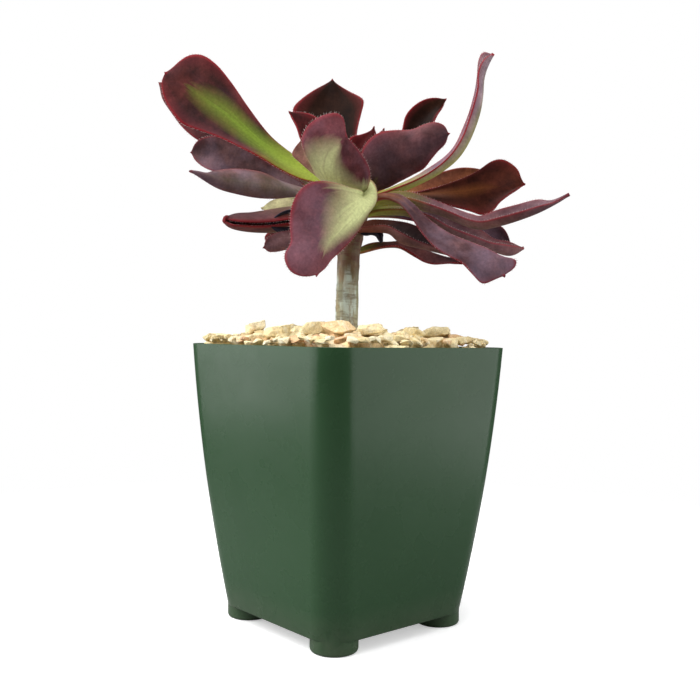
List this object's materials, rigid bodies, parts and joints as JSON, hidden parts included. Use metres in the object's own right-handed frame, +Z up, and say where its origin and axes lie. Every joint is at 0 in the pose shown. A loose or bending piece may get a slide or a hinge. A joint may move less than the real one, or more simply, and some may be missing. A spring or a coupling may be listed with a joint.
{
  "type": "potted aeonium",
  "caption": "Dark-leaved aeonium on a bare woody stem, potted in a square tapered nursery pot with corner feet and dressed with crushed stone.",
  "frame": {"origin": "on the surface the pot stands on, under the middle of the pot", "axes": "+Z up along the stem; X and Y along the sides of the pot; the pictured side of the plant faces the corner at +X, -Y"},
  "size_m": [0.1388, 0.1223, 0.2167],
  "materials": {
    "pot": "satin dark green moulded plastic",
    "soil": "bark and peat potting mix",
    "stone": "crushed beige limestone chips",
    "stem": "grey-green bark with pale blue-white bloom and brown leaf scars",
    "leaf": "smooth burgundy to purple leaf with green midstripe, red margin and pale bloom",
    "leaf_pale": "pale beige-green fading leaf",
    "leaf_withered": "dry blue-black withered leaf"
  },
  "bodies": {
    "root": {"pot": "pot", "soil": "soil", "gravel": "stone", "stone_01": "stone", "stone_02": "stone", "stone_03": "stone", "stone_04": "stone", "stone_05": "stone", "stone_06": "stone", "stone_07": "stone", "stone_08": "stone", "stone_09": "stone", "stone_10": "stone", "stone_11": "stone", "stone_12": "stone", "stone_13": "stone", "stone_14": "stone", "stone_15": "stone", "stone_16": "stone", "stone_17": "stone", "stone_18": "stone", "stem": "stem", "leaf_upper_left": "leaf", "leaf_upper_left_rear": "leaf", "leaf_left": "leaf", "leaf_left_pointed": "leaf", "leaf_left_boat": "leaf", "leaf_left_pale": "leaf_pale", "leaf_left_low": "leaf", "leaf_withered_left": "leaf_withered", "leaf_front": "leaf", "leaf_front_upright": "leaf", "leaf_inner_left": "leaf", "leaf_inner_left_small": "leaf", "leaf_heart_rear": "leaf", "leaf_heart_right": "leaf", "leaf_rear_upright": "leaf", "leaf_right_broad": "leaf", "leaf_right_rear_small": "leaf", "leaf_arching": "leaf", "leaf_right_tan": "leaf", "leaf_right_brown": "leaf", "leaf_far_right": "leaf", "leaf_right_low": "leaf", "leaf_front_right": "leaf", "leaf_right_channelled": "leaf", "leaf_lowest": "leaf", "leaf_withered_stub": "leaf_withered", "leaf_rear_high": "leaf", "leaf_rear_right_high": "leaf", "leaf_rear_right": "leaf", "leaf_rear_left": "leaf", "leaf_rear_drooping": "leaf", "leaf_rear_right_low": "leaf", "leaf_rear_left_low": "leaf"}
  },
  "joints": []
}
